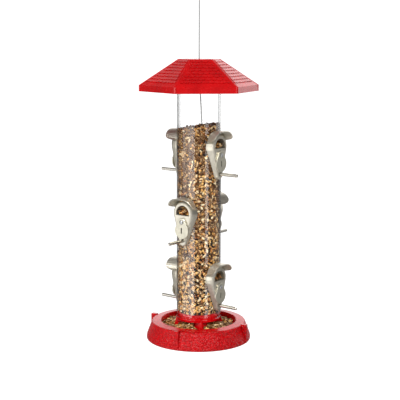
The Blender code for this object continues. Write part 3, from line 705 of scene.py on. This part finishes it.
def mixed_kinds(count, dark):
    """Random kinds, of which a share named dark are sunflower seeds."""
    shares = np.stack([dark, *((1.0 - dark) * share for share in PALE_SHARES)], axis=1)
    drawn = rng.uniform(0.0, 1.0, (count, 1))
    picked = (drawn > np.cumsum(shares, axis=1)[:, :-1]).sum(axis=1)
    return np.array(list(KINDS))[picked]


def heap_top(x, y):
    """The uneven top of the seed in the tube, which is higher on the picture's right."""
    right = turned_by(math.pi / 2)
    rise = (x * right.x + y * right.y) * HEAP_SLOPE
    return SEED_TOP + rise + 0.0012 * np.sin(x * 260) * np.cos(y * 210)


def in_a_window(angles, heights):
    """Whether a spot on the tube's wall lies in a port's sleeve."""
    found = np.zeros(len(angles), bool)
    for level, turn in PORTS:
        across = (angles - math.radians(turn) + math.pi) % (2 * math.pi) - math.pi
        side = across * WALL_RADIUS
        rise = heights - level - WINDOW_CENTRE
        over_sill = heights - level > WINDOW_SILL - WINDOW_MARGIN
        found |= (np.hypot(side, rise) < WINDOW_RADIUS + WINDOW_MARGIN) & over_sill
    return found


def add_wall_seeds(finishes):
    """The seeds that press against the inside of the tube, in bands, with more dark ones higher up."""
    bands = np.linspace(SEED_FOOT, SEED_TOP + BAND_MARGIN, WALL_BANDS + 1)
    for number, (low, high) in enumerate(zip(bands, bands[1:]), 1):
        area = 2 * math.pi * WALL_RADIUS * (high - low)
        count = int(area / WALL_SEED_AREA)
        angles = rng.uniform(0.0, 2 * math.pi, count)
        heights = rng.uniform(low, high, count)
        share = ((heights - SEED_FOOT) / (SEED_TOP - SEED_FOOT)).clip(0.0, 1.0)
        patches = DARK_PATCHES * np.sin(angles * 3 + heights * 90) * np.sin(heights * 160 + angles * 2)
        dark = (DARK_AT_FOOT + DARK_RISE * share + patches).clip(*DARK_LIMITS)
        kinds = mixed_kinds(count, dark)
        thickness = np.array([KINDS[kind][0][2] for kind in kinds]) / 1000
        radii = WALL_RADIUS - thickness / 2 - rng.exponential(WALL_SEED_DEPTH, count)
        radii = np.where(kinds == "sunflower", radii - SUNFLOWER_DEPTH, radii)
        spots = np.stack([radii * np.cos(angles), radii * np.sin(angles), up(heights)], axis=1)
        top = heap_top(spots[:, 0], spots[:, 1])
        keep = (heights < top) & ~in_a_window(angles, heights)
        outward = np.stack([np.cos(angles), np.sin(angles), np.zeros(count)], axis=1)
        add_seeds(
            f"tube_seeds_{number}",
            kinds[keep],
            spots[keep],
            outward[keep],
            WALL_SEED_TILT,
            finishes,
            within_radius(WALL_RADIUS),
            WALL_SEED_SIZE,
        )


def add_top_seeds(finishes):
    """Loose seeds that make the top of the fill."""
    count = TOP_SEEDS
    radii = TOP_SEED_RADIUS * np.sqrt(rng.uniform(0.0, 1.0, count))
    angles = rng.uniform(0.0, 2 * math.pi, count)
    x, y = radii * np.cos(angles), radii * np.sin(angles)
    depth = rng.uniform(0.0, 1.0, count)
    heights = CORE_TOP + (heap_top(x, y) - CORE_TOP) * depth
    spots = np.stack([x, y, up(heights)], axis=1)
    normals = np.tile([[0.0, 0.0, 1.0]], (count, 1))
    kinds = mixed_kinds(count, np.full(count, TOP_DARK))
    add_seeds("top_seeds", kinds, spots, normals, TOP_SEED_TILT, finishes, within_radius(WALL_RADIUS))


def behind_flaps(points):
    """Every port faces along an axis, so one bound on X and Y keeps the seed behind all the flaps."""
    points[:, :2] = points[:, :2].clip(-WINDOW_LIMIT, WINDOW_LIMIT)
    return points


def add_window_seeds(finishes):
    """The seeds that slope out into each port's window."""
    spots = []
    for level, turn in PORTS:
        x = rng.uniform(PILE_INNER, PILE_OUTER, WINDOW_SEEDS)
        y = rng.uniform(-PILE_HALF_WIDTH, PILE_HALF_WIDTH, WINDOW_SEEDS)
        pile = PILE_HEIGHT - (x - PILE_INNER) * PILE_SLOPE
        z = WINDOW_SILL + 0.0012 + pile * rng.uniform(0.1, 1.0, WINDOW_SEEDS)
        spin = math.radians(turn)
        placed = np.stack([x * math.cos(spin) - y * math.sin(spin), x * math.sin(spin) + y * math.cos(spin)])
        spots.append(np.stack([*placed, up(level + z)], axis=1))
    spots = np.concatenate(spots)
    count = len(spots)
    kinds = mixed_kinds(count, np.full(count, WINDOW_DARK))
    swapped = (kinds == "sunflower") & (rng.uniform(0, 1, count) < WINDOW_MILO)
    kinds = np.where(swapped, "milo", kinds)
    normals = np.tile([[0.0, 0.0, 1.0]], (count, 1))
    tilt, size = WINDOW_SEED_TILT, WINDOW_SEED_SIZE
    add_seeds("window_seeds", kinds, spots, normals, tilt, finishes, behind_flaps, size)


def tray_height(radius):
    """The top of the heap in the tray, from the hub's arches down to the tray's wall."""
    return np.interp(radius, *zip(*TRAY_HEAP))


def add_tray_seeds(finishes):
    count = TRAY_SEEDS
    radii = np.sqrt(rng.uniform(TRAY_SEED_INNER**2, TRAY_SEED_OUTER**2, count))
    angles = rng.uniform(0.0, 2 * math.pi, count)
    x, y = radii * np.cos(angles), radii * np.sin(angles)
    side = np.maximum(np.abs(x), np.abs(y))
    off = np.minimum(np.abs(x), np.abs(y))
    keep = (side > HUB_HALF + HUB_MARGIN) | (off < ARCH_HALF)
    to_corner = np.abs(np.abs(x) - np.abs(y)) / math.sqrt(2)
    hollow = CORNER_HOLLOW * np.exp(-((to_corner / CORNER_REACH) ** 2))
    heights = tray_height(radii) - hollow - rng.exponential(TRAY_SEED_DEPTH, count)
    spots = np.stack([x, y, up(heights)], axis=1)[keep]
    normals = np.tile([[0.0, 0.0, 1.0]], (len(spots), 1))
    kinds = mixed_kinds(len(spots), np.full(len(spots), TRAY_DARK))
    keep_in = within_radius(TRAY_WALL)
    add_seeds("tray_seeds", kinds, spots, normals, TRAY_SEED_TILT, finishes, keep_in, TRAY_SEED_SIZE)


def add_seed_depths(finishes):
    """Dark solids behind the loose seeds, so that no light passes between them; their near-black colour is
    painted shade for the depths between the seeds.
    """
    core = [(CORE_HOLE, CORE_FOOT), (CORE_RADIUS, CORE_FOOT)]
    core += [(CORE_RADIUS, CORE_TOP), (CORE_HOLE, CORE_TOP)]
    tube_core = add_piece("seed_core", *lathe(core, CORE_STEPS), [finishes["core"]], "feeder")
    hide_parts("tube_seed")
    bed = lathe(TRAY_BED, TRAY_BED_STEPS)
    tray_bed = add_piece("tray_seed_bed", *bed, [finishes["core"]], "feeder")
    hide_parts("tray_seed")


# ---- studio ----------------------------------------------------------------------------------


def seen_directly(tree):
    """1 for a ray from the camera that nothing has reflected, though it may have passed through plastic."""
    rays = tree.nodes.new("ShaderNodeLightPath")
    bounces = tree.nodes.new("ShaderNodeMath")
    tree.links.new(rays.outputs["Glossy Depth"], bounces.inputs[0])
    tree.links.new(rays.outputs["Diffuse Depth"], bounces.inputs[1])
    seen = tree.nodes.new("ShaderNodeMath")
    seen.operation = "LESS_THAN"
    tree.links.new(bounces.outputs[0], seen.inputs[0])
    seen.inputs[1].default_value = 0.5
    return seen.outputs[0]


def add_floor():
    """A plain pale floor, well below the feeder, that the camera sees as the white of the backdrop."""
    half = FLOOR_HALF
    mesh = bpy.data.meshes.new("floor")
    corners = [(x, y, FLOOR_HEIGHT) for x, y in ((-half, -half), (half, -half), (half, half), (-half, half))]
    mesh.from_pydata(corners, [], [(0, 1, 2, 3)])
    floor = bpy.data.objects.new("floor", mesh)
    bpy.context.scene.collection.objects.link(floor)
    finish = Finish("floor_white")
    finish.shade(Base_Color=(0.85, 0.85, 0.85, 1.0), Roughness=0.9)
    glow = finish.node("ShaderNodeEmission", Strength=SEEN_WHITE)
    mixed = finish.tree.nodes.new("ShaderNodeMixShader")
    finish.put(mixed.inputs[0], seen_directly(finish.tree))
    finish.put(mixed.inputs[1], finish.shader.outputs["BSDF"])
    finish.put(mixed.inputs[2], glow.outputs["Emission"])
    finish.put(finish.output.inputs["Surface"], mixed.outputs["Shader"])
    mesh.materials.append(finish.material)


def add_world():
    """White where the camera sees it. As light, it is bright behind the feeder and dimmer in front."""
    world = bpy.data.worlds.new("studio")
    world.use_nodes = True
    bpy.context.scene.world = world
    tree = world.node_tree
    background = tree.nodes["Background"]
    place = tree.nodes.new("ShaderNodeTexCoord")
    facing = tree.nodes.new("ShaderNodeVectorMath")
    facing.operation = "DOT_PRODUCT"
    tree.links.new(place.outputs["Generated"], facing.inputs[0])
    facing.inputs[1].default_value = turned_by(BRIGHT_TURN)
    strength = tree.nodes.new("ShaderNodeMapRange")
    strength.inputs["From Min"].default_value = BRIGHT_EDGES[0]
    strength.inputs["From Max"].default_value = BRIGHT_EDGES[1]
    strength.inputs["To Min"].default_value = DIM_LIGHT
    strength.inputs["To Max"].default_value = BRIGHT_LIGHT
    tree.links.new(facing.outputs["Value"], strength.inputs["Value"])
    chosen = tree.nodes.new("ShaderNodeMix")
    tree.links.new(seen_directly(tree), chosen.inputs["Factor"])
    tree.links.new(strength.outputs["Result"], chosen.inputs["A"])
    chosen.inputs["B"].default_value = SEEN_WHITE
    tree.links.new(chosen.outputs["Result"], background.inputs["Strength"])
    background.inputs["Color"].default_value = (1.0, 1.0, 1.0, 1.0)


def add_softbox(name, turn, distance, height, sides, watts):
    data = bpy.data.lights.new(name, "AREA")
    data.shape = "RECTANGLE"
    data.size, data.size_y = sides
    data.energy = watts
    lamp = bpy.data.objects.new(name, data)
    target = Vector((0.0, 0.0, up(LIGHT_TARGET)))
    lamp.location = turned_by(math.radians(turn)) * distance + Vector((0.0, 0.0, height))
    lamp.rotation_euler = (target - lamp.location).to_track_quat("-Z", "Y").to_euler()
    bpy.context.scene.collection.objects.link(lamp)


def add_studio():
    bpy.context.scene.view_settings.view_transform = "Standard"
    add_floor()
    add_world()
    for name, values in SOFTBOXES.items():
        add_softbox(name, *values)


def main():
    add_camera()
    finishes = make_finishes()
    add_cable(finishes)
    paint_cad(finishes)
    add_shingles(finishes)
    add_painted_slot_shadows(finishes)
    add_seed_depths(finishes)
    add_wall_seeds(finishes)
    add_top_seeds(finishes)
    add_window_seeds(finishes)
    add_tray_seeds(finishes)
    add_studio()


main()
